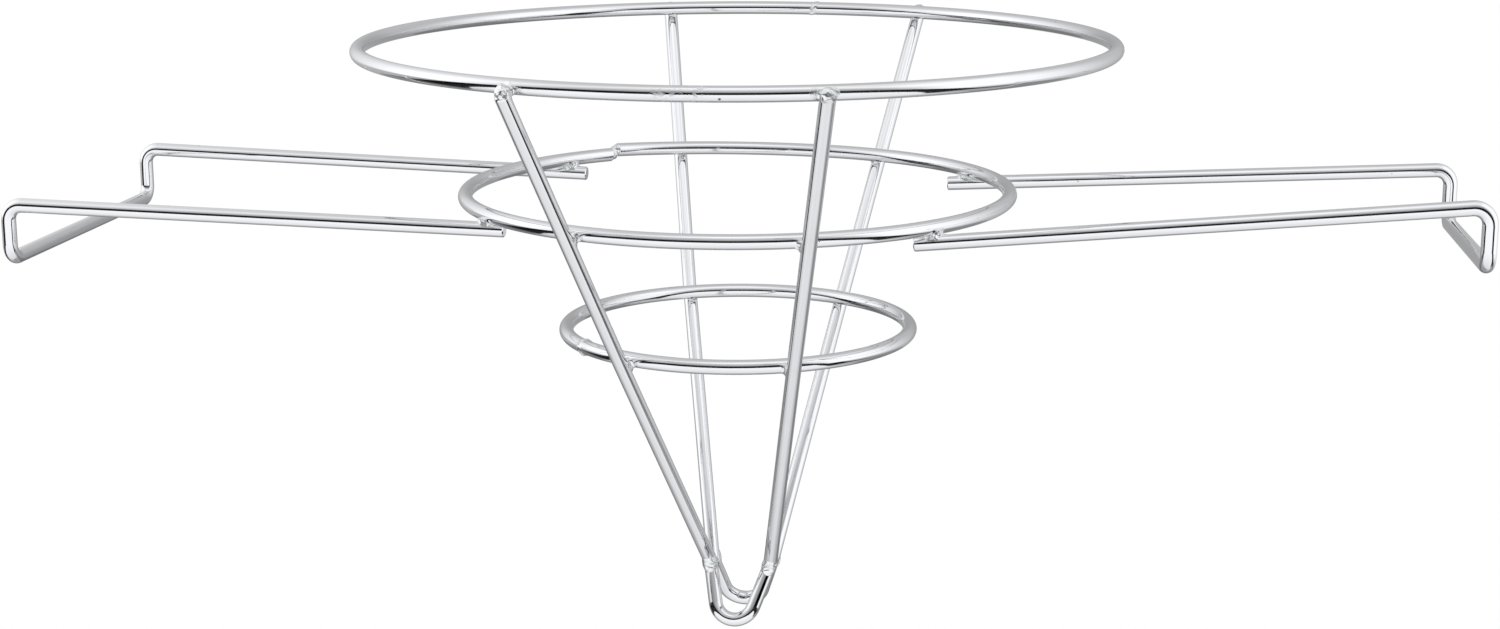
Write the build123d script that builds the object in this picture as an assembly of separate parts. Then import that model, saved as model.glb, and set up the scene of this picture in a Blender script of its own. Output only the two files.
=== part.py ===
"""Cone filter rack: three wire rings, two V-bent leg wires and two bail handles, all of
one round wire, welded at every crossing and chrome plated.

The rack hangs by its two handles on the rim of a pot, and a paper filter cone sits in
the rings. Millimetres. +Z is up, +X runs along the right handle, and -Y is the front.
The origin is on the cone's axis, level with the underside of the handle wires where
they pass below the middle ring, which is the level at which the rack rests on a rim.
"""
from build123d import *
import math
import os

# ---------------------------------------------------------------- driving dimensions
WIRE_D = 5.0                     # all seven wires
WELD_GAP = 0.06                  # film of weld metal between two wires that cross

TOP_RING_INSIDE_D = 254.0        # a standard ten-inch filter cone
MIDDLE_RING_INSIDE_D = 184.0
BOTTOM_RING_INSIDE_D = 116.0
TOP_TO_MIDDLE = 51.0             # ring centre planes
TOP_TO_BOTTOM = 99.6

LEG_SPREAD_TOP = 21.3            # degrees from the Y axis, where a leg meets the top ring
LEG_SPREAD_BOTTOM = 26.0         # the same, at the bottom ring
LEG_STAND_OFF = 0.9              # extra level gap at the top ring, bridged by the weld
LEG_ABOVE_RING = {               # leg's end above the top ring's centre plane, at its axis
    "front left": -1.6,
    "front right": 1.2,
    "rear left": 0.0,
    "rear right": 0.4,
}
LEG_END_ROUND = 1.3              # the weld's heat rounds that end
LEG_BEND_R = 200.0               # slight inward bend of each leg at the bottom ring
KNEE_X = {-1: -9.9, 1: 11.8}     # knees, where leg and foot lines meet: left and right
KNEE_Y = 2.03                    # the same, off the XZ plane
BOTTOM_TO_KNEE = 87.0            # bottom ring's centre plane down to the knees
KNEE_R = 3.2                     # bend between leg and foot, almost a crease on its inside
FOOT_LENGTH = 20.6               # knee to the centre line of the foot's round bottom
FOOT_LEAN = 29.0                 # degrees that each foot leans outward from the vertical
FOOT_R = 7.1                     # centre-line radius of the foot's round bottom
FOOT_APEX_X = -1.2               # sets the round bottom square under the cone's axis

HANDLE_SPACING = 116.7           # between the two arms of a handle
HANDLE_REACH = {"left": 243.9, "right": 246.7}   # axis of the cone to the outer end
HANDLE_INNER_END = 68.0          # the arms' free ends, inside the middle ring
HANDLE_DROP = 19.0               # arm to the cross bar at the outer end
HANDLE_BEND_R = 5.0
HANDLE_RISE = {"left": 1.4, "right": 4.3}    # degrees that the arms climb outward
HANDLE_TWIST = {"left": -0.25, "right": 1.2} # degrees: front arm climbs more, rear less
END_CHAMFER = 0.35               # broken edge of a sheared wire end

TOP_SEAM_ANGLE = 86.5            # butt joints of the rings, degrees from +X
MIDDLE_SEAM_ANGLE = 130.0
BOTTOM_SEAM_ANGLE = 220.5
SEAM_GAP = 1.6                   # length of ring replaced by the butt weld
MIDDLE_SEAM_STEP = 1.6           # one wire end of the middle ring stands this much higher
MIDDLE_STEP_ARC = 52.0           # degrees over which that end climbs, in a tilted plane
MIDDLE_SEAM_GAP = 3.2            # its neck is longer than a plain butt weld

CROSSING_BEAD = (3.0, 3.0, 2.3)  # half sizes: along one wire, along the other, across
SEAM_BEAD_R = 2.85               # radius of a butt weld's flash, at its middle
SEAM_EDGE_R = 2.45               # the same, one gap's length to either side
NECK_R = 2.1                     # the middle ring's seam is drawn thin
TIP_BEAD = (2.4, 3.1, 2.0)       # the bead between the knees: level, upright, across

# ------------------------------------------------------------------ worked-out places
WIRE_R = WIRE_D / 2
PITCH = WIRE_D + WELD_GAP        # centre to centre of two wires that touch
TOP_R = TOP_RING_INSIDE_D / 2 + WIRE_R
MIDDLE_R = MIDDLE_RING_INSIDE_D / 2 + WIRE_R
BOTTOM_R = BOTTOM_RING_INSIDE_D / 2 + WIRE_R
ARM_Z = WIRE_R                   # handle arms where they pass under the middle ring
MIDDLE_Z = ARM_Z + PITCH
TOP_Z = MIDDLE_Z + TOP_TO_MIDDLE
BOTTOM_Z = TOP_Z - TOP_TO_BOTTOM
CONE_SLOPE = math.atan((TOP_R - BOTTOM_R) / TOP_TO_BOTTOM)
LEG_OFFSET = PITCH / math.cos(CONE_SLOPE)    # ring to leg, measured level
ARM_Y = HANDLE_SPACING / 2
ARM_CROSS_X = math.sqrt(MIDDLE_R**2 - ARM_Y**2)
MIDDLE_HALF_GAP = math.degrees(MIDDLE_SEAM_GAP / 2 / MIDDLE_R)


def ring_point(radius, z, degrees):
    """A point on a circle about the cone's axis."""
    a = math.radians(degrees)
    return Vector(radius * math.cos(a), radius * math.sin(a), z)


def end_plane(radius, z, degrees):
    """The plane of a ring wire's end, facing along the ring."""
    return Plane(origin=ring_point(radius, z, degrees), z_dir=ring_point(1, 0, degrees + 90))


def wire_along(path):
    """Round wire with its centre line on path."""
    start = Plane(origin=path @ 0, z_dir=path % 0)
    return sweep(start * Circle(WIRE_R), path=path)


def end_rims(wire, points):
    """The rims of the flat ends nearest to points."""
    rims = []
    for p in points:
        face = wire.faces().filter_by(GeomType.PLANE).sort_by_distance(p)[0]
        rims += face.edges()
    return rims


# -------------------------------------------------------------------------- the rings
def ring(radius, z, seam_angle):
    """A ring with a short gap at its butt joint."""
    half_gap = math.degrees(SEAM_GAP / 2 / radius)
    start = seam_angle + half_gap
    path = CenterArc((0, 0, z), radius, start, 360 - 2 * half_gap)
    return wire_along(path)


def climbing_plane():
    """The tilted plane of the middle ring's climbing arc, which starts on its x axis."""
    junction = MIDDLE_SEAM_ANGLE - MIDDLE_HALF_GAP - MIDDLE_STEP_ARC
    rise = MIDDLE_R * (1 - math.cos(math.radians(MIDDLE_STEP_ARC)))
    tilt = math.asin(MIDDLE_SEAM_STEP / rise)
    start = ring_point(MIDDLE_R, MIDDLE_Z, junction)
    outward = ring_point(math.cos(tilt), -math.sin(tilt), junction)
    normal = outward.cross(ring_point(1, 0, junction + 90))
    return Plane(origin=start - outward * MIDDLE_R, x_dir=outward, z_dir=normal)


def middle_ring_path():
    """The centre line from the low end, once round, to the high end."""
    low_end = MIDDLE_SEAM_ANGLE + MIDDLE_HALF_GAP
    flat_length = 360 - 2 * MIDDLE_HALF_GAP - MIDDLE_STEP_ARC
    flat = CenterArc((0, 0, MIDDLE_Z), MIDDLE_R, low_end, flat_length)
    climb = climbing_plane() * CenterArc((0, 0), MIDDLE_R, 0, MIDDLE_STEP_ARC)
    return Wire([flat, climb.edge()])


# ---------------------------------------------------------------------- the leg wires
def leg_at(side, front, z):
    """Centre of a leg at a height from the bottom ring up: side is -1 left or 1 right, and
    front is -1 front or 1 rear."""
    places = []
    for radius, spread in ((TOP_R + LEG_STAND_OFF, LEG_SPREAD_TOP), (BOTTOM_R, LEG_SPREAD_BOTTOM)):
        a = math.radians(spread)
        r = radius + LEG_OFFSET
        places.append(Vector(side * r * math.sin(a), front * r * math.cos(a), 0))
    top, low = places
    flat = top + (low - top) * ((TOP_Z - z) / TOP_TO_BOTTOM)
    return Vector(flat.X, flat.Y, z)


def knee_point(side, front):
    """Where a leg's line reaches the foot."""
    return Vector(KNEE_X[side], front * KNEE_Y, BOTTOM_Z - BOTTOM_TO_KNEE)


def foot_apex(front):
    """Where the foot's two straight arms would meet, below its round bottom."""
    knee = knee_point(1, front)
    half_width = (KNEE_X[1] - KNEE_X[-1]) / 2
    centre = FOOT_LENGTH - FOOT_R
    to_centre = math.hypot(half_width, centre)
    narrowing = math.atan2(half_width, centre) - math.asin(FOOT_R / to_centre)
    depth = half_width / math.tan(narrowing)
    lean = math.radians(FOOT_LEAN)
    y = knee.Y + front * depth * math.sin(lean)
    return Vector(FOOT_APEX_X, y, knee.Z - depth * math.cos(lean))


def leg_end(side, front):
    """The cut end of a leg, at the top ring."""
    name = ("front " if front < 0 else "rear ") + ("left" if side < 0 else "right")
    return leg_at(side, front, TOP_Z + LEG_ABOVE_RING[name])


def leg_wire(front):
    """One wire: down a leg, round the foot and up the other leg."""
    ends = [leg_end(side, front) for side in (-1, 1)]
    left, right = ([leg_at(side, front, BOTTOM_Z), knee_point(side, front)] for side in (-1, 1))
    points = [ends[0], *left, foot_apex(front), *reversed(right), ends[1]]
    wire = wire_along(FilletPolyline(*points, radius=[LEG_BEND_R, KNEE_R, FOOT_R, KNEE_R, LEG_BEND_R]))
    return fillet(end_rims(wire, ends), LEG_END_ROUND)


# ------------------------------------------------------------------------ the handles
def arm_point(side_name, front, distance, drop=0):
    """Centre of a handle's arm at a distance from the cone's axis."""
    sign = -1 if side_name == "left" else 1
    climb = HANDLE_RISE[side_name] - front * HANDLE_TWIST[side_name]
    z = ARM_Z + (distance - ARM_CROSS_X) * math.tan(math.radians(climb)) - drop
    return Vector(sign * distance, front * ARM_Y, z)


def handle(side_name):
    """One wire: out along the front arm, down, across, up and back along the rear arm."""
    inner = [arm_point(side_name, front, HANDLE_INNER_END) for front in (-1, 1)]
    reach = HANDLE_REACH[side_name]
    outer = [arm_point(side_name, front, reach) for front in (-1, 1)]
    low = [arm_point(side_name, front, reach, HANDLE_DROP) for front in (-1, 1)]
    points = [inner[0], outer[0], low[0], low[1], outer[1], inner[1]]
    wire = wire_along(FilletPolyline(*points, radius=HANDLE_BEND_R))
    return chamfer(end_rims(wire, inner), END_CHAMFER)


# -------------------------------------------------------------------------- the welds
def bead(centre, along, across, half_sizes):
    """An ellipsoid of weld metal: half_sizes run along, sideways and across."""
    ball = Solid.make_sphere(1.0, angle1=-90, angle2=90, angle3=360)
    sizes = [[half_sizes[0], 0, 0, 0], [0, half_sizes[1], 0, 0], [0, 0, half_sizes[2], 0]]
    shaped = ball.transform_geometry(Matrix(sizes))
    return Plane(origin=centre, x_dir=along, z_dir=across) * shaped


def crossing_weld(ring_centre, other_centre, along, ring_wire, other_wire):
    """The bead where a wire lies on a ring, without the two wires themselves."""
    across = (other_centre - ring_centre).normalized()
    level = along - across * along.dot(across)
    middle = (ring_centre + other_centre) / 2
    metal = bead(middle, level, across, CROSSING_BEAD)
    return metal - ring_wire - other_wire


def leg_welds(radius, z, rings_wire, legs):
    """The four beads that hold the legs to one ring."""
    welds = []
    for front in (-1, 1):
        for side in (-1, 1):
            leg = leg_at(side, front, z)
            direction = (leg_at(side, front, z + 1) - leg).normalized()
            outward = Vector(leg.X, leg.Y, 0).normalized()
            touch = outward * radius + Vector(0, 0, z)
            nearest = leg - direction * direction.dot(leg - touch)
            welds.append(crossing_weld(touch, nearest, direction, rings_wire, legs[front]))
    return welds


def handle_welds(side_name, rings_wire, handle_wire):
    """The two beads between the middle ring and a handle's arms."""
    welds = []
    for front in (-1, 1):
        arm = arm_point(side_name, front, ARM_CROSS_X)
        above = Vector(arm.X, arm.Y, MIDDLE_Z)
        along = arm_point(side_name, front, HANDLE_REACH[side_name]) - arm
        welds.append(crossing_weld(above, arm, along.normalized(), rings_wire, handle_wire))
    return welds


def butt_weld(radius, z, seam_angle):
    """The proud collar of flash between a ring's two ends."""
    half = SEAM_GAP / 2
    half_angle = math.degrees(half / radius)
    side = ThreePointArc((SEAM_EDGE_R, -SEAM_GAP), (SEAM_BEAD_R, 0), (SEAM_EDGE_R, SEAM_GAP))
    outline = side + Polyline(side @ 1, (0, SEAM_GAP), (0, -SEAM_GAP), side @ 0)
    profile = make_face(Plane.XZ * outline)
    collar = end_plane(radius, z, seam_angle) * revolve(profile, Axis.Z, 360)
    collar = split(collar, bisect_by=end_plane(radius, z, seam_angle - half_angle), keep=Keep.TOP)
    return split(collar, bisect_by=end_plane(radius, z, seam_angle + half_angle), keep=Keep.BOTTOM)


def neck_weld():
    """The drawn-out neck between the middle ring's two ends, which stand at two heights."""
    path = middle_ring_path()
    low = Plane(origin=path @ 0, z_dir=path % 0)
    high = Plane(origin=path @ 1, z_dir=path % 1)
    waist = Plane(origin=(low.origin + high.origin) / 2, z_dir=low.z_dir)
    return loft([high * Circle(WIRE_R), waist * Circle(NECK_R), low * Circle(WIRE_R)])


def tip_welds(legs):
    """The two beads that join the knees of the two leg wires."""
    welds = []
    for side in (-1, 1):
        centre = Vector(KNEE_X[side], 0, BOTTOM_Z - BOTTOM_TO_KNEE)
        metal = bead(centre, Vector(1, 0, 0), Vector(0, 1, 0), TIP_BEAD)
        welds.append(metal - legs[-1] - legs[1])
    return welds


# ----------------------------------------------------------------------- the assembly
def build():
    rings = {
        "top_ring": ring(TOP_R, TOP_Z, TOP_SEAM_ANGLE),
        "middle_ring": wire_along(middle_ring_path()),
        "bottom_ring": ring(BOTTOM_R, BOTTOM_Z, BOTTOM_SEAM_ANGLE),
    }
    legs = {front: leg_wire(front) for front in (-1, 1)}
    nodes = {name: [wire] for name, wire in rings.items()}
    nodes["front_leg_wire"] = [legs[-1]]
    nodes["rear_leg_wire"] = [legs[1]]
    nodes["tip_welds"] = tip_welds(legs)
    levels = [("top", TOP_R, TOP_Z), ("middle", MIDDLE_R, MIDDLE_Z), ("bottom", BOTTOM_R, BOTTOM_Z)]
    for level, radius, z in levels:
        nodes[f"{level}_ring_leg_welds"] = leg_welds(radius, z, rings[f"{level}_ring"], legs)
    for side_name in ("left", "right"):
        wire = handle(side_name)
        nodes[f"{side_name}_handle"] = [wire]
        nodes[f"{side_name}_handle_welds"] = handle_welds(side_name, rings["middle_ring"], wire)
    nodes["top_ring_seam_weld"] = [butt_weld(TOP_R, TOP_Z, TOP_SEAM_ANGLE)]
    nodes["middle_ring_seam_weld"] = [neck_weld()]
    nodes["bottom_ring_seam_weld"] = [butt_weld(BOTTOM_R, BOTTOM_Z, BOTTOM_SEAM_ANGLE)]
    return nodes


os.makedirs("parts", exist_ok=True)
for name, solids in build().items():
    pieces = [solid for shape in solids for solid in shape.solids()]
    export_step(Compound(children=pieces), f"parts/{name}.step")
    print(name, len(pieces), "solids")
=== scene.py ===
"""Looks for the cone filter rack: bright chrome wire, lumpy welds and a light tent.

Lengths in metres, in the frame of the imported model, unless a comment says otherwise. MM
turns millimetres into metres.
"""
import math
import bmesh
import bpy
import numpy as np
from mathutils import Matrix, Vector
from mathutils.bvhtree import BVHTree


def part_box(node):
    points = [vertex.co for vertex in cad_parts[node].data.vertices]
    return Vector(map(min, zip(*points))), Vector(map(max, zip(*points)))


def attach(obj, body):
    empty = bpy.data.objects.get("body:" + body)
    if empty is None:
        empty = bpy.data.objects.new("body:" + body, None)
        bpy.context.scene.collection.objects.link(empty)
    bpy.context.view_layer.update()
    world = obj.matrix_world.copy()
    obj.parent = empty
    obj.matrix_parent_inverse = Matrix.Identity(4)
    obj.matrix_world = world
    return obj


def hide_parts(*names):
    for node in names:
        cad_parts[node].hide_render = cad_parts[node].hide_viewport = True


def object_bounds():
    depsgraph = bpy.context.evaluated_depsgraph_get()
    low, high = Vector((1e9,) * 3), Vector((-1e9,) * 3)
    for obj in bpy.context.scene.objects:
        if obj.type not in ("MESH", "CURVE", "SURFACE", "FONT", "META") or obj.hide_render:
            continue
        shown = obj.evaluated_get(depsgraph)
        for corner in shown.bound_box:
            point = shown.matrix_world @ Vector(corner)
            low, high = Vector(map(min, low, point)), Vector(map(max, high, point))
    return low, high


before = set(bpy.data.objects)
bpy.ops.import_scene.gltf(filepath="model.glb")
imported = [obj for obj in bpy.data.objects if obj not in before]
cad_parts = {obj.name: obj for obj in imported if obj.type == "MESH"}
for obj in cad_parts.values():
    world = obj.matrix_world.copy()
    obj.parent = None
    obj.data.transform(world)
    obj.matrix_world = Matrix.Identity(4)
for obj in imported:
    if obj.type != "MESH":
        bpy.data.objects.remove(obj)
cad_low, cad_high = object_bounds()
MM = 0.001

# ------------------------------------------------------------------------- the camera
CAMERA_PLACE = Vector((149.3, -835.7, 154.2)) * MM
CAMERA_FORWARD = Vector((-0.1668, 0.9612, -0.2195))
CAMERA_ROLL = math.radians(-0.12)
LENS = 59.17                      # millimetres, on a sensor this wide
SENSOR_WIDTH = 36
HEADING = math.atan2(-CAMERA_FORWARD.x, CAMERA_FORWARD.y)


def add_camera():
    data = bpy.data.cameras.new("camera")
    data.lens = LENS
    data.sensor_width = SENSOR_WIDTH
    camera = bpy.data.objects.new("camera", data)
    roll = Matrix.Rotation(CAMERA_ROLL, 3, "Z").to_quaternion()
    camera.rotation_mode = "QUATERNION"
    camera.rotation_quaternion = CAMERA_FORWARD.to_track_quat("-Z", "Y") @ roll
    camera.location = CAMERA_PLACE
    bpy.context.scene.collection.objects.link(camera)
    bpy.context.scene.camera = camera


# ---------------------------------------------------------------------- node shorthand
class Nodes:
    """Builds a material's nodes with few words."""

    def __init__(self, name):
        self.material = bpy.data.materials.new(name)
        self.material.use_nodes = True
        self.tree = self.material.node_tree
        self.tree.nodes.clear()

    def add(self, kind, inputs=(), **settings):
        node = self.tree.nodes.new(kind)
        for key, value in settings.items():
            setattr(node, key, value)
        for key, value in dict(inputs).items():
            self.set(node.inputs[key], value)
        return node

    def set(self, socket, value):
        if hasattr(value, "is_output"):
            self.tree.links.new(value, socket)
        else:
            socket.default_value = value

    def math(self, operation, a, b=0.0):
        return self.add("ShaderNodeMath", {0: a, 1: b}, operation=operation).outputs[0]

    def ramp(self, value, start, end, low=0.0, high=1.0, kind="SMOOTHSTEP"):
        inputs = {"Value": value, "From Min": start, "From Max": end, "To Min": low, "To Max": high}
        return self.add("ShaderNodeMapRange", inputs, interpolation_type=kind).outputs["Result"]

    def mix(self, factor, a, b):
        """A mix of two numbers."""
        return self.add("ShaderNodeMix", {0: factor, 2: a, 3: b}, data_type="FLOAT").outputs[0]

    def mix_colour(self, factor, a, b):
        inputs = {0: factor, 6: a, 7: b}
        return self.add("ShaderNodeMix", inputs, data_type="RGBA").outputs[2]


# ---------------------------------------------------------------------- the light tent
TENT_RADIUS = 0.95                # just past the camera, which looks in through the dark gap
TENT_COLOUR = (0.985, 0.985, 1.0, 1.0)
SKY_STRENGTH = 1.08
FLOOR_SIZE = 60
FLOOR_DROP = 250 * MM             # the rack hangs this far above the floor


def add_floor():
    bpy.ops.mesh.primitive_plane_add(size=FLOOR_SIZE, location=(0, 0, cad_low.z - FLOOR_DROP))
    floor = bpy.context.object
    floor.name = "floor"
    n = Nodes("pale_floor")
    noise = n.add("ShaderNodeTexNoise", {"Scale": 3.0, "Detail": 2.0})
    shade = n.ramp(noise.outputs["Fac"], 0.3, 0.7, 0.93, 0.95)
    colour = n.add("ShaderNodeCombineColor", {"Red": shade, "Green": shade, "Blue": shade})
    surface = n.add("ShaderNodeBsdfDiffuse", {"Color": colour.outputs[0]})
    output = n.add("ShaderNodeOutputMaterial")
    n.set(output.inputs["Surface"], surface.outputs[0])
    floor.data.materials.append(n.material)
    floor.visible_glossy = False


def tent_strength(n):
    """How bright the tent is at each place: white panels with a dark gap between them.

    turn and rise are the place's direction from the middle, in degrees. A turn of 0 is
    towards the lens and 90 is to the lens's right. Every bare number below is such an
    angle or a brightness.
    """
    place = n.add("ShaderNodeTexCoord").outputs["Object"]
    outward = n.add("ShaderNodeVectorMath", {0: place}, operation="NORMALIZE").outputs[0]
    x, y, z = n.add("ShaderNodeSeparateXYZ", {0: outward}).outputs
    degrees = math.degrees(1)
    toward_lens = n.math("MULTIPLY", y, -1.0)
    turn = n.math("MULTIPLY", n.math("ARCTAN2", x, toward_lens), degrees)
    rise = n.math("MULTIPLY", n.math("ARCSINE", z), degrees)
    side = n.math("ABSOLUTE", turn)

    # the front card's upper edge is an arch: level in front, and falling off to both sides
    right_fall = n.ramp(turn, 23.0, 80.0, 10.5, -39.0)
    left_fall = n.ramp(turn, -41.0, -115.0, 0.0, -42.0)
    above = n.math("SUBTRACT", rise, n.math("ADD", right_fall, left_fall))
    card = n.ramp(rise, -85.0, -8.0, 0.96, 1.3, "LINEAR")
    card = n.mix(n.ramp(side, 62.0, 140.0), card, 0.42)

    # over the gap: a grey fade in front, a bright panel to each side, grey behind
    front = n.ramp(above, -2.0, 61.0, 0.0, 1.32, "LINEAR")
    rear = n.ramp(rise, -30.0, 75.0, 0.53, 0.73, "LINEAR")
    over = n.mix(n.ramp(side, 70.0, 110.0), front, rear)
    right = n.math("MULTIPLY", n.ramp(turn, 37.0, 62.0), n.ramp(turn, 150.0, 75.0))
    right = n.math("MULTIPLY", right, n.ramp(rise, -36.0, -7.0))
    over = n.mix(right, over, n.ramp(rise, 46.0, 54.0, 1.36, 1.1))
    left = n.math("MULTIPLY", n.ramp(turn, -30.0, -105.0), n.ramp(turn, -182.0, -80.0))
    left = n.math("MULTIPLY", left, n.ramp(rise, -9.0, 1.0))
    over = n.mix(left, over, n.ramp(rise, 25.0, 70.0, 1.56, 0.84))

    whole = n.mix(n.ramp(above, -1.0, 1.0), card, over)
    # the dark gap follows the card's edge, and closes up towards the back
    left_gap, right_gap = n.ramp(turn, -100.0, -135.0, 0.02, 0.6), n.ramp(turn, 68.0, 90.0, 0.02, 0.6)
    darkness = n.math("MAXIMUM", left_gap, right_gap)
    outside_gap = n.ramp(n.math("ABSOLUTE", above), 11.0, 12.5)
    whole = n.math("MULTIPLY", whole, n.mix(outside_gap, darkness, 1.0))

    # less light stands straight behind the object, which gives each wire a dark outline
    level, down = math.hypot(CAMERA_FORWARD.x, CAMERA_FORWARD.y), -CAMERA_FORWARD.z
    behind = n.math("SUBTRACT", n.math("MULTIPLY", y, level), n.math("MULTIPLY", z, down))
    return n.math("MULTIPLY", whole, n.ramp(behind, 0.74, 0.95, 1.0, 0.72))


def add_tent():
    """The panels that the chrome reflects. Only reflections see them."""
    bpy.ops.mesh.primitive_uv_sphere_add(segments=48, ring_count=24, radius=TENT_RADIUS)
    tent = bpy.context.object
    tent.name = "light_tent"
    tent.rotation_euler = (0, 0, HEADING)
    n = Nodes("tent_panels")
    light = n.add("ShaderNodeEmission", {"Strength": tent_strength(n)})
    light.inputs["Color"].default_value = TENT_COLOUR
    output = n.add("ShaderNodeOutputMaterial")
    n.set(output.inputs["Surface"], light.outputs[0])
    n.material.cycles.emission_sampling = "NONE"
    tent.data.materials.append(n.material)
    tent.visible_camera = False
    tent.visible_diffuse = False
    tent.visible_shadow = False


def add_sky():
    world = bpy.data.worlds.new("studio")
    bpy.context.scene.world = world
    world.use_nodes = True
    background = world.node_tree.nodes["Background"]
    background.inputs["Color"].default_value = (1.0, 1.0, 1.0, 1.0)
    background.inputs["Strength"].default_value = SKY_STRENGTH
    bpy.context.scene.view_settings.view_transform = "Standard"


# ------------------------------------------------------------------------- the chrome
TOP_RING_SCUFFS = (1.5 * MM, -131.6 * MM, 59.4 * MM), (10.5 * MM, -131.1 * MM, 59.4 * MM)
TOP_RING_PIT = (18.0 * MM, -130.6 * MM, 57.2 * MM)
SCUFF_REACH, PIT_REACH = 6 * MM, 0.7 * MM
PIT_CORE = 0.4                    # share of a pit's or a scuff's reach that has its full depth
CLEAN_CHROME, SMEARED_CHROME = (0.735, 0.742, 0.755, 1), (0.71, 0.725, 0.73, 1)
PIT_COLOUR = (0.12, 0.115, 0.11, 1)
WELD_HIGH, WELD_LOW = (0.80, 0.82, 0.82, 1), (0.70, 0.725, 0.72, 1)
WIRE_ROUGHNESS, WELD_ROUGHNESS = 0.045, 0.2
SMEAR_ROUGHENS, GRAIN_ROUGHENS, DAMAGE_ROUGHENS, LUMPS_ROUGHEN = 0.05, 0.04, 0.4, 0.2
WIRE_WAVE_HEIGHT, WIRE_GRAIN_HEIGHT, DAMAGE_DEPTH = 0.05, 0.0006, 0.03    # millimetres
WELD_LUMP_HEIGHT, WELD_GRAIN_HEIGHT = 0.12, 0.012


def speckle(n, scale, low, high, **inputs):
    """Noise in the object's own space, turned into a 0 to 1 mask."""
    place = n.add("ShaderNodeTexCoord").outputs["Object"]
    noise = n.add("ShaderNodeTexNoise", {"Vector": place, "Scale": scale, **inputs})
    return n.ramp(noise.outputs["Fac"], low, high)


def pits(n, scale, keep, radius):
    """Sparse round pits: one cell in many holds one."""
    place = n.add("ShaderNodeTexCoord").outputs["Object"]
    cells = n.add("ShaderNodeTexVoronoi", {"Vector": place, "Scale": scale})
    chosen = n.add("ShaderNodeSeparateColor", {0: cells.outputs["Color"]}).outputs[0]
    here = n.math("GREATER_THAN", chosen, keep)
    return n.math("MULTIPLY", here, n.ramp(cells.outputs["Distance"], radius, PIT_CORE * radius))


def near(n, spot, reach):
    """1 at a place on the object, fading to 0 at reach from it."""
    place = n.add("ShaderNodeTexCoord").outputs["Object"]
    away = n.add("ShaderNodeVectorMath", {0: place, 1: spot}, operation="DISTANCE")
    return n.ramp(away.outputs["Value"], reach, PIT_CORE * reach)


def metal(n, colour, roughness, height, bump_strength):
    """Finishes a plated metal's material. Its height is in millimetres."""
    bump = n.add("ShaderNodeBump", {"Height": height, "Distance": 1 * MM, "Strength": bump_strength})
    shader = n.add("ShaderNodeBsdfPrincipled", {"Metallic": 1.0, "Base Color": colour})
    n.set(shader.inputs["Roughness"], roughness)
    n.set(shader.inputs["Normal"], bump.outputs[0])
    output = n.add("ShaderNodeOutputMaterial")
    n.set(output.inputs["Surface"], shader.outputs[0])
    return n.material


def wire_chrome():
    """Drawn wire under bright chrome: soft waves, fine grain, smears, scuffs and a few pits."""
    n = Nodes("wire_chrome")
    smear = speckle(n, scale=55.0, low=0.5, high=0.75, Detail=4.0)
    grain = speckle(n, scale=900.0, low=0.35, high=0.7, Detail=3.0)
    waves = speckle(n, scale=70.0, low=0.0, high=1.0, Detail=1.0)
    sparse_pits = pits(n, scale=190.0, keep=0.88, radius=0.06)
    pit = n.math("MAXIMUM", sparse_pits, near(n, TOP_RING_PIT, PIT_REACH))
    scuff = n.math("MAXIMUM", *(near(n, spot, SCUFF_REACH) for spot in TOP_RING_SCUFFS))
    scratches = speckle(n, scale=700.0, low=0.47, high=0.6, Detail=2.0)
    scuff = n.math("MULTIPLY", scuff, scratches)

    roughness = n.math("ADD", WIRE_ROUGHNESS, n.math("MULTIPLY", smear, SMEAR_ROUGHENS))
    roughness = n.math("ADD", roughness, n.math("MULTIPLY", grain, GRAIN_ROUGHENS))
    damage = n.math("ADD", pit, scuff)
    roughness = n.math("ADD", roughness, n.math("MULTIPLY", damage, DAMAGE_ROUGHENS))
    colour = n.mix_colour(pit, n.mix_colour(smear, CLEAN_CHROME, SMEARED_CHROME), PIT_COLOUR)

    height = n.math("MULTIPLY", waves, WIRE_WAVE_HEIGHT)
    height = n.math("ADD", height, n.math("MULTIPLY", grain, WIRE_GRAIN_HEIGHT))
    height = n.math("SUBTRACT", height, n.math("MULTIPLY", damage, DAMAGE_DEPTH))
    return metal(n, colour, roughness, height, bump_strength=1.0)


def weld_chrome():
    """Plated weld metal: the same chrome over a rough, slightly greenish casting."""
    n = Nodes("weld_chrome")
    lumps = speckle(n, scale=420.0, low=0.3, high=0.7, Detail=3.0)
    grain = speckle(n, scale=1800.0, low=0.35, high=0.7, Detail=2.0)
    roughness = n.math("ADD", WELD_ROUGHNESS, n.math("MULTIPLY", lumps, LUMPS_ROUGHEN))
    colour = n.mix_colour(lumps, WELD_HIGH, WELD_LOW)
    height = n.math("MULTIPLY", lumps, WELD_LUMP_HEIGHT)
    height = n.math("ADD", height, n.math("MULTIPLY", grain, WELD_GRAIN_HEIGHT))
    return metal(n, colour, roughness, height, bump_strength=0.8)


# ------------------------------------------------------------------ the welds' places
# Lengths from here on are in millimetres and angles in degrees. The rings' sizes come
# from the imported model, and the rest repeats its design. A side is -1 left or 1 right,
# and a front is -1 front or 1 rear.
WIRE_R = 2.5
PITCH = 2 * WIRE_R + 0.06         # centre to centre of two wires that touch
LEG_STAND_OFF = {"top": 0.9, "bottom": 0.0}
LEG_SPREAD = {"top": 21.3, "bottom": 26.0}      # from the Y axis
LEG_ABOVE_RING = {(-1, -1): -1.6, (1, -1): 1.2, (-1, 1): 0.0, (1, 1): 0.4}
LEG_END_ROUND = 1.3
KNEE_X = {-1: -9.9, 1: 11.8}
KNEE_Y = 2.03
BOTTOM_TO_KNEE = 87.0
FOOT_LEAN = 29.0
FOOT_POINT_X = -1.2               # where a foot's two arms would meet, below its round end
FOOT_POINT_DEPTH = 41.7
ARM_Y = 58.35
ARM_END_X = 68.0
ARM_END_ROUND = 0.35
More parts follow.
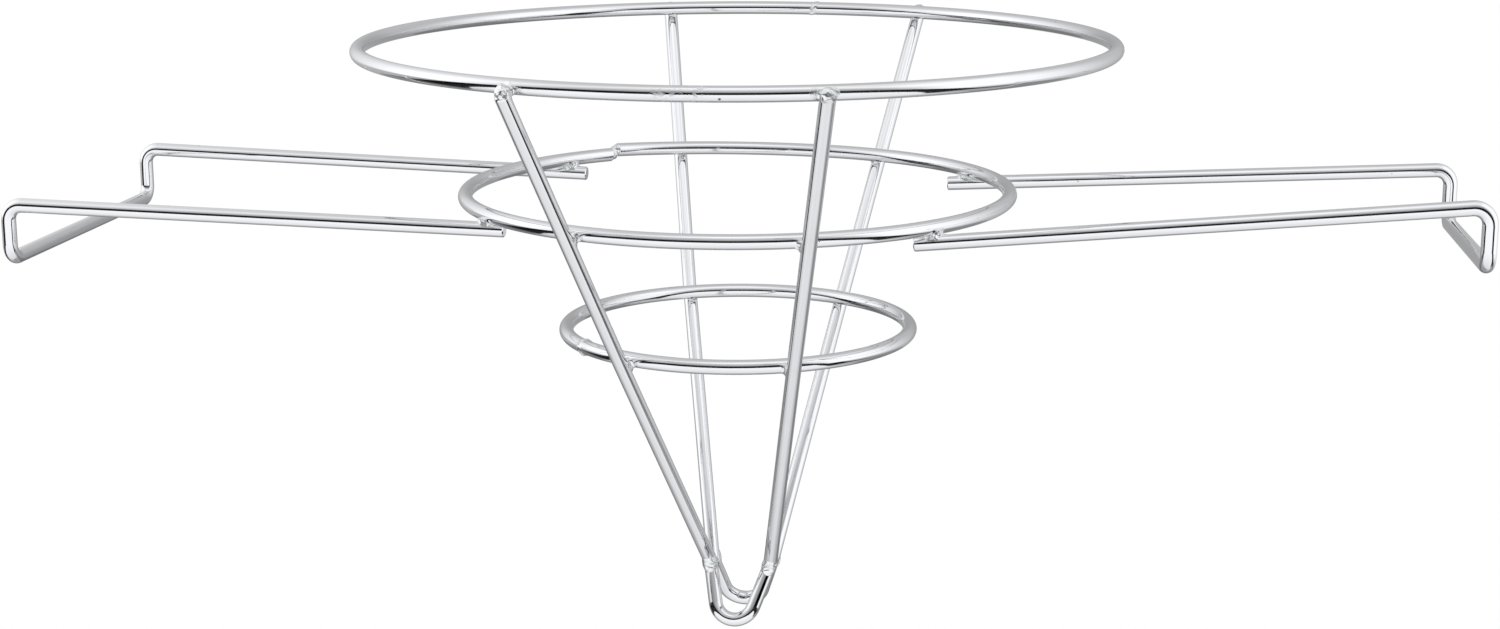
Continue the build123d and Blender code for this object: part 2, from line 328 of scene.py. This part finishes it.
ARM_CLIMB = {(-1, -1): 1.15, (-1, 1): 1.65, (1, -1): 5.5, (1, 1): 3.1}
SEAM_ANGLE = {"top": 86.5, "middle": 130.0, "bottom": 220.5}
STEP_UP = 1.6                     # the middle ring's high end, and the arc that climbs to it
STEP_ARC = 52.0
NECK_HALF_ANGLE = 0.97
CORNERS = [(side, front) for front in (-1, 1) for side in (-1, 1)]


def ring_size(level):
    """A ring's centre-line radius and height."""
    low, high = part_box(f"{level}_ring")
    return high[0] / MM - WIRE_R, low[2] / MM + WIRE_R


RING = {level: ring_size(level) for level in ("top", "middle", "bottom")}
SLOPE = math.atan((RING["top"][0] - RING["bottom"][0]) / (RING["top"][1] - RING["bottom"][1]))
ARM_CROSS_X = math.sqrt(RING["middle"][0]**2 - ARM_Y**2)


def unit(v):
    return v / np.linalg.norm(v)


def leg_beside(side, front, level):
    """A leg's centre where it passes the top or the bottom ring."""
    radius, z = RING[level]
    reach = radius + PITCH / math.cos(SLOPE) + LEG_STAND_OFF[level]
    spread = math.radians(LEG_SPREAD[level])
    return np.array([side * reach * math.sin(spread), front * reach * math.cos(spread), z])


def leg_at(side, front, z):
    """A leg's centre at a height from the bottom ring up."""
    top, low = (leg_beside(side, front, level) for level in ("top", "bottom"))
    return top + (low - top) * (z - top[2]) / (low[2] - top[2])


def leg_end(side, front):
    return leg_at(side, front, RING["top"][1] + LEG_ABOVE_RING[side, front])


def knee_at(side, front):
    return np.array([KNEE_X[side], front * KNEE_Y, RING["bottom"][1] - BOTTOM_TO_KNEE])


def arm_at(side, front, x):
    climb = math.tan(math.radians(ARM_CLIMB[side, front]))
    return np.array([side * x, front * ARM_Y, WIRE_R + (x - ARM_CROSS_X) * climb])


def contact(side, front, level):
    """The middle of the film of metal between a ring and a leg."""
    radius, z = RING[level]
    leg_centre = leg_at(side, front, z)
    along = unit(leg_at(side, front, z + 1) - leg_centre)
    touch = np.array([0, 0, z]) + unit(leg_centre * (1, 1, 0)) * radius
    nearest = leg_centre - along * (along @ (leg_centre - touch))
    return (touch + nearest) / 2


def seam_place(level):
    """The centre of a ring's seam, and the way along the ring there."""
    angle = math.radians(SEAM_ANGLE[level])
    outward = np.array([math.cos(angle), math.sin(angle), 0])
    radius, z = RING[level]
    return outward * radius + np.array([0, 0, z]), np.array([-outward[1], outward[0], 0])


# ------------------------------------------------------- distances to the wires and lumps
# A shape is a function of p, an array of points: how far each one is outside it.
def smooth(t):
    """From 0 at 0 to 1 at 1, level at both ends."""
    t = np.clip(t, 0, 1)
    return t * t * (3 - 2 * t)


def fading(away, start, end):
    """From 1 at start to 0 at end."""
    return 1 - smooth((away - start) / (end - start))


def rod(p, start, end):
    """A wire between two points."""
    along = end - start
    t = np.clip((p - start) @ along / (along @ along), 0, 1)
    return np.linalg.norm(p - start - t[..., None] * along, axis=-1) - WIRE_R


def cut_rod(p, end, outward, rounding):
    """A wire that ends at a point, facing outward, with its rim rounded."""
    t = (p - end) @ outward
    off_axis = np.linalg.norm(p - end - t[..., None] * outward, axis=-1)
    a, b = off_axis - WIRE_R + rounding, t + rounding
    return np.hypot(np.maximum(a, 0), np.maximum(b, 0)) + np.minimum(np.maximum(a, b), 0) - rounding


NO_FILLET = 1e-6                  # keeps a fillet of no size from dividing by nothing


def blend(a, b, size):
    """Two shapes in one, with a fillet of this size between them."""
    overlap = np.maximum(size - np.abs(a - b), 0)
    return np.minimum(a, b) - overlap**2 / (4 * np.maximum(size, NO_FILLET))


def ring_height(level, degrees):
    """A ring's height round the circle: the middle one climbs and drops back at its seam."""
    z = RING[level][1]
    if level != "middle":
        return z
    past = degrees - SEAM_ANGLE[level]
    climbed = np.clip(past + NECK_HALF_ANGLE + STEP_ARC, 0, STEP_ARC)
    rise = (1 - np.cos(np.radians(climbed))) / (1 - math.cos(math.radians(STEP_ARC)))
    return z + STEP_UP * rise * (1 - smooth((past + NECK_HALF_ANGLE) / (2 * NECK_HALF_ANGLE)))


def hoop(p, level, radius=WIRE_R):
    """A ring's wire, or its centre line where the radius is 0."""
    degrees = np.degrees(np.arctan2(p[..., 1], p[..., 0])) % 360
    height = ring_height(level, degrees)
    return np.hypot(np.hypot(p[..., 0], p[..., 1]) - RING[level][0], p[..., 2] - height) - radius


def leg(p, side, front):
    """A leg's wire, down to its knee."""
    end, low = leg_end(side, front), leg_beside(side, front, "bottom")
    upper = cut_rod(p, end, unit(end - low), LEG_END_ROUND)
    return np.where(p[..., 2] > low[2], upper, rod(p, low, knee_at(side, front)))


def arm(p, side, front):
    """A handle's arm, from its end inside the middle ring outward."""
    end, further = arm_at(side, front, ARM_END_X), arm_at(side, front, 2 * ARM_END_X)
    return cut_rod(p, end, unit(end - further), ARM_END_ROUND)


WAVES, WAVE_LENGTHS = 7, (0.7, 1.5)      # how many, and their lengths as shares of the size
WAVE_SUM = 3                      # so many waves seldom add up to more than this
FACETS, FACET_DEPTHS = 26, (0.84, 0.97)  # how many, and their places as shares of the radius


def ripple(p, size, seed):
    """Smooth uneven waves, about -1 to 1."""
    random = np.random.default_rng(seed)
    total = 0
    for _ in range(WAVES):
        wave = unit(random.normal(size=3)) * 2 * math.pi / (size * random.uniform(*WAVE_LENGTHS))
        total = total + np.sin(p @ wave + random.uniform(0, 2 * math.pi))
    return total / WAVE_SUM


def crumpled_ball(p, centre, radii, seed):
    """A ball of weld metal with dull facets."""
    random = np.random.default_rng(seed)
    q = (p - centre) / radii
    furthest = np.linalg.norm(q, axis=-1) - 1
    for _ in range(FACETS):
        facet = q @ unit(random.normal(size=3)) - random.uniform(*FACET_DEPTHS)
        furthest = np.maximum(furthest, facet)
    return furthest * min(radii)


# ------------------------------------------------------------------ a skin round a shape
NET_STEP = 0.22                   # between the points at which a shape is measured
GRID_MARGIN = 0.5                 # from the furthest reach of a lump to the side of its grid
KNEE_GRID_MARGIN = 0.4
SAME_PLACE = 0.004 * MM           # points of a skin that are this close become one
SETTLE_REACH, SETTLE_LIMIT = 0.04, 0.1
LEAST_SLOPE = 0.5


def cells_beside(shape, axis):
    """For the edges along an axis, the cells on each of their four sides."""
    across = [k for k in range(3) if k != axis]
    for sides in ((0, 0), (0, 1), (1, 0), (1, 1)):
        shift = dict(zip(across, sides))
        yield tuple(slice(shift.get(k, 0), shape[k] + shift.get(k, 0)) for k in range(3))


def ends_of_edges(shape, axis):
    """The grid points at the two ends of every edge along an axis."""
    for k in (0, 1):
        yield tuple(slice(k, shape[i] - 1 + k) if i == axis else slice(None) for i in range(3))


def skin(field, centre, half_size):
    """The closed quad mesh of a field's zero surface near a centre, by surface nets: one
    point in each grid cell that the surface crosses, and one quad round each crossed edge."""
    ticks = np.arange(-half_size, half_size + NET_STEP, NET_STEP)
    p = centre + np.stack(np.meshgrid(ticks, ticks, ticks, indexing="ij"), axis=-1)
    value = np.pad(field(p)[1:-1, 1:-1, 1:-1], 1, constant_values=1.0)
    inside = value < 0
    cells = [n - 1 for n in value.shape]
    total, count = np.zeros(cells + [3]), np.zeros(cells)
    edges = []
    for axis in range(3):
        a, b = ends_of_edges(value.shape, axis)
        crossed = inside[a] != inside[b]
        share = np.where(crossed, value[a] / np.where(crossed, value[a] - value[b], 1), 0)[..., None]
        point = (p[a] + (p[b] - p[a]) * share) * crossed[..., None]
        for beside in cells_beside(cells, axis):
            total += point[beside]
            count += crossed[beside]
        edges.append((axis, crossed, inside[a]))
    used = count > 0
    number = np.full(cells, -1)
    number[used] = np.arange(used.sum())
    points = total[used] / count[used][:, None]
    quads = [quads_round(number, *edge) for edge in edges]
    return settle(points, field), np.concatenate(quads)


def quads_round(number, axis, crossed, starts_inside):
    """A quad of numbered cells round each crossed edge along an axis, facing outward."""
    u, v = [k for k in range(3) if k != axis]
    loop = []
    for du, dv in ((1, 1), (0, 1), (0, 0), (1, 0)):
        cell = np.argwhere(crossed)
        cell[:, u] -= du
        cell[:, v] -= dv
        loop.append(number[tuple(cell.T)])
    loop = np.stack(loop, axis=1)
    turn_over = starts_inside[crossed] == (axis == 1)
    loop[turn_over] = loop[turn_over][:, ::-1]
    return loop


def settle(points, field):
    """Moves the points of a skin onto the field's zero surface."""
    for _ in range(2):
        rises = [field(points + SETTLE_REACH * way) - field(points - SETTLE_REACH * way)
                 for way in np.eye(3)]
        slope = np.stack(rises, axis=-1) / (2 * SETTLE_REACH)
        squared_slope = np.maximum((slope**2).sum(axis=-1), LEAST_SLOPE**2)
        move = (field(points) / squared_slope)[:, None] * slope
        points = points - np.clip(move, -SETTLE_LIMIT, SETTLE_LIMIT)
    return points


def add_welds(node, lumps):
    """One piece for all the welds of a CAD node. Each lump is a field, and the centre and
    half the size of the grid that it is measured on."""
    points, quads, start = [], [], 0
    for field, centre, half_size in lumps:
        some, loops = skin(field, centre, half_size)
        points.append(some * MM)
        quads.append(loops + start)
        start += len(some)
    mesh = bpy.data.meshes.new(f"{node}_metal")
    mesh.from_pydata(np.concatenate(points).tolist(), [], np.concatenate(quads).tolist())
    cleaner = bmesh.new()
    cleaner.from_mesh(mesh)
    bmesh.ops.remove_doubles(cleaner, verts=cleaner.verts, dist=SAME_PLACE)
    cleaner.to_mesh(mesh)
    cleaner.free()
    mesh.shade_smooth()
    mesh.materials.append(WELDS)
    piece = bpy.data.objects.new(f"{node}_metal", mesh)
    bpy.context.scene.collection.objects.link(piece)
    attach(piece, "root")
    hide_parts(node)


# -------------------------------------------------------------------- the welds' shapes
# A lump's field follows the wires just inside their surface, and stands out of it only
# where there is weld metal. Past its reach it is cut off, out of sight in the wires.
SUNK = 0.03
UNEVEN = 0.3                      # share by which a fillet's size varies
FILLET_WAVE = 2.6                 # length of the waves in which it varies
ARM_FILLET, ARM_REACH = 2.4, 5.2
BUMP, BUMP_WAVE = 0.12, 2.0       # height and length of the bumps on nuggets and the neck
NUGGET_REACH = 5.6
NUGGET_LEG_FILLET = 2.6           # under a nugget, between the leg and the ring
NUGGET_BALL_FILLET = 0.9          # round a nugget's ball
FLASH_HALF_WIDTH = 0.9
FLASH_UNEVEN = 0.5
SHORT_WAVE = 2.4                  # length of the waves of the flash and the knees' fillets
SEAM_HALF_LENGTH = 2.6
SEAM_REACH = 3.7
NECK_R = 2.0
NECK_STEEPEST = 0.75              # most that the neck climbs, per unit of its length
NECK_THINNEST, NECK_FULL = 0.3, 1.8     # from its middle, where it starts and stops thickening
NECK_HALF_LENGTH = 3.2
NECK_REACH = 4.5
KNEE_FILLET, KNEE_REACH = 2.2, 4.6
CREASE_FILLET, CREASE_REACH = 5.0, 5.0
CREASE_FORWARD = 3.2              # from the knee's corner to the middle of its inner side
CREASE_BEHIND = 0.6               # how far the squeezed metal starts in front of the corner
PRESS_MARKS = (-0.55, 0.75)       # their heights from the corner
PRESS_MARK_DEPTH, PRESS_MARK_HALF_WIDTH, PRESS_MARK_SLANT = 0.14, 0.2, 0.15


def lump(shape, centre, reach, margin=GRID_MARGIN):
    """A field that is a shape of p and of how far p is from the centre, as a share of the
    reach. It is sunk, and cut off at the reach."""
    def field(p):
        away = np.linalg.norm(p - centre, axis=-1)
        return np.maximum(shape(p, away / reach) + SUNK, away - reach)
    return field, centre, reach + margin


def fillet(centre, wires, size, reach, seed):
    """Uneven weld metal in the corners where two wires cross, thinning out to nothing."""
    def shape(p, away):
        fullness = fading(away, start=0.45, end=0.95)
        uneven_size = size * fullness * (1 + UNEVEN * ripple(p, FILLET_WAVE, seed))
        return blend(*(wire(p) for wire in wires), uneven_size)
    return lump(shape, centre, reach)


def ring_welds(level, size, reach, toward_middle, seed):
    """The fillets of a ring's four legs, with more metal on their inner sides."""
    lumps = []
    for number, (side, front) in enumerate(CORNERS):
        centre = contact(side, front, level) - np.array([side * toward_middle, 0, 0])
        wires = (lambda p: hoop(p, level)), (lambda p, s=side, f=front: leg(p, s, f))
        lumps.append(fillet(centre, wires, size, reach, seed=7 * number + seed))
    return lumps


def arm_welds(side, seeds):
    """The fillets between the middle ring and a handle's two arms, which pass below it."""
    lumps = []
    for front, seed in zip((-1, 1), seeds):
        centre = arm_at(side, front, ARM_CROSS_X) + np.array([0, 0, PITCH / 2])
        wires = (lambda p: hoop(p, "middle")), (lambda p, f=front: arm(p, side, f))
        lumps.append(fillet(centre, wires, ARM_FILLET, ARM_REACH, seed))
    return lumps


def nugget(side, front, radii, lift, toward_ring, seed):
    """The ball of metal on a leg's cut end, run into the top ring."""
    end = leg_end(side, front)
    heart = end - unit(end * (1, 1, 0)) * toward_ring + np.array([0, 0, lift])
    middle = (contact(side, front, "top") + heart) / 2

    def shape(p, away):
        fullness = fading(away, start=0.5, end=0.95)
        joined = blend(hoop(p, "top"), leg(p, side, front), NUGGET_LEG_FILLET * fullness)
        ball = crumpled_ball(p, heart, np.array(radii), seed) + BUMP * ripple(p, BUMP_WAVE, seed)
        return blend(joined, ball, NUGGET_BALL_FILLET * fullness)
    return lump(shape, middle, NUGGET_REACH)


def seam(level, flash, slant, seed):
    """A butt weld: a slanting ridge of flash round the joint of a ring's two ends."""
    centre, along = seam_place(level)

    def field(p):
        t = (p - centre) @ along
        from_ridge = (t + slant * (p[..., 2] - centre[2])) / FLASH_HALF_WIDTH
        unevenness = 1 + FLASH_UNEVEN * ripple(p, SHORT_WAVE, seed)
        ridge = flash * np.exp(-from_ridge**2) * unevenness
        return np.maximum(hoop(p, level) + SUNK - ridge, np.abs(t) - SEAM_HALF_LENGTH)
    return field, centre, SEAM_REACH + GRID_MARGIN


def neck():
    """The middle ring's seam: a thin neck that steps from the low end up to the high one."""
    low_centre, along = seam_place("middle")
    centre = low_centre + np.array([0, 0, STEP_UP / 2])

    def field(p):
        t = (p - centre) @ along
        middle = fading(np.abs(t), NECK_THINNEST, NECK_FULL)
        off_centre = hoop(p, "middle", 0) / np.hypot(1, NECK_STEEPEST * middle)
        bumps = BUMP * middle * ripple(p, BUMP_WAVE, seed=5)
        thickness = WIRE_R - SUNK - (WIRE_R - NECK_R) * middle + bumps
        return np.maximum(off_centre - thickness, np.abs(t) - NECK_HALF_LENGTH)
    return field, centre, NECK_REACH + GRID_MARGIN


def meshed_wire(node):
    """The distance to a CAD node's own mesh, for the tight bends."""
    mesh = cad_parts[node].data
    corners = [v.co for v in mesh.vertices]
    tree = BVHTree.FromPolygons(corners, [list(f.vertices) for f in mesh.polygons])

    def field(p):
        places = [Vector(q) for q in (p.reshape(-1, 3) * MM).tolist()]
        found = [(q, *tree.find_nearest(q)) for q in places]
        gaps = [math.copysign(gap, (q - hit).dot(normal)) for q, hit, normal, _, gap in found]
        return np.array(gaps).reshape(p.shape[:-1]) / MM
    return field


def knee_welds():
    """The metal between the two wires' knees."""
    wires = [meshed_wire(f"{name}_leg_wire") for name in ("front", "rear")]

    def knee_weld(side):
        centre = (knee_at(side, -1) + knee_at(side, 1)) / 2

        def shape(p, away):
            fullness = fading(away, start=0.35, end=0.9)
            unevenness = 1 + UNEVEN * ripple(p, SHORT_WAVE, seed=90 + side)
            return blend(*(wire(p) for wire in wires), KNEE_FILLET * fullness * unevenness)
        return lump(shape, centre, KNEE_REACH, KNEE_GRID_MARGIN)
    return [knee_weld(side) for side in (-1, 1)]


def crease(side, front):
    """The metal squeezed into the inside of a knee's bend, with two press marks across it."""
    knee, above = knee_at(side, front), leg_beside(side, front, "bottom")
    lean = math.radians(FOOT_LEAN)
    drop = FOOT_POINT_DEPTH * np.array([0, front * math.sin(lean), -math.cos(lean)])
    below = np.array([FOOT_POINT_X, knee[1], knee[2]]) + drop
    outward = np.array([0, front, 0])

    def shape(p, away):
        fullness = fading(away, start=0.35, end=0.95)
        fill = blend(rod(p, above, knee), rod(p, knee, below), CREASE_FILLET * fullness)
        height = p[..., 2] - knee[2] - PRESS_MARK_SLANT * side * (p[..., 0] - knee[0])
        marks = sum(np.exp(-((height - mark) / PRESS_MARK_HALF_WIDTH)**2) for mark in PRESS_MARKS)
        marked = fill + PRESS_MARK_DEPTH * marks * fullness
        return np.maximum(marked, (knee - p) @ outward + CREASE_BEHIND - SUNK)
    return lump(shape, knee + CREASE_FORWARD * outward, CREASE_REACH, KNEE_GRID_MARGIN)


add_camera()
add_floor()
add_tent()
add_sky()
WIRES = wire_chrome()
WELDS = weld_chrome()
for name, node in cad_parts.items():
    node.data.materials.clear()
    node.data.materials.append(WELDS if "weld" in name else WIRES)

add_welds("top_ring_leg_welds", [
    nugget(-1, -1, (2.6, 2.8, 2.7), lift=0.4, toward_ring=0.9, seed=11),
    nugget(1, -1, (2.75, 2.75, 2.4), lift=-0.9, toward_ring=0.3, seed=12),
    nugget(-1, 1, (2.7, 2.6, 2.3), lift=-0.2, toward_ring=0.6, seed=13),
    nugget(1, 1, (2.6, 2.7, 2.4), lift=-0.4, toward_ring=0.5, seed=14),
])
add_welds("middle_ring_leg_welds", ring_welds("middle", size=2.6, reach=4.8, toward_middle=1.0, seed=6))
add_welds("bottom_ring_leg_welds", ring_welds("bottom", size=2.4, reach=4.6, toward_middle=1.0, seed=6))
add_welds("left_handle_welds", arm_welds(-1, seeds=(28, 30)))
add_welds("right_handle_welds", arm_welds(1, seeds=(90, 92)))
add_welds("top_ring_seam_weld", [seam("top", flash=0.3, slant=0.35, seed=21)])
add_welds("middle_ring_seam_weld", [neck()])
add_welds("bottom_ring_seam_weld", [seam("bottom", flash=0.42, slant=0.2, seed=23)])
add_welds("tip_welds", knee_welds() + [crease(side, front) for side, front in CORNERS])
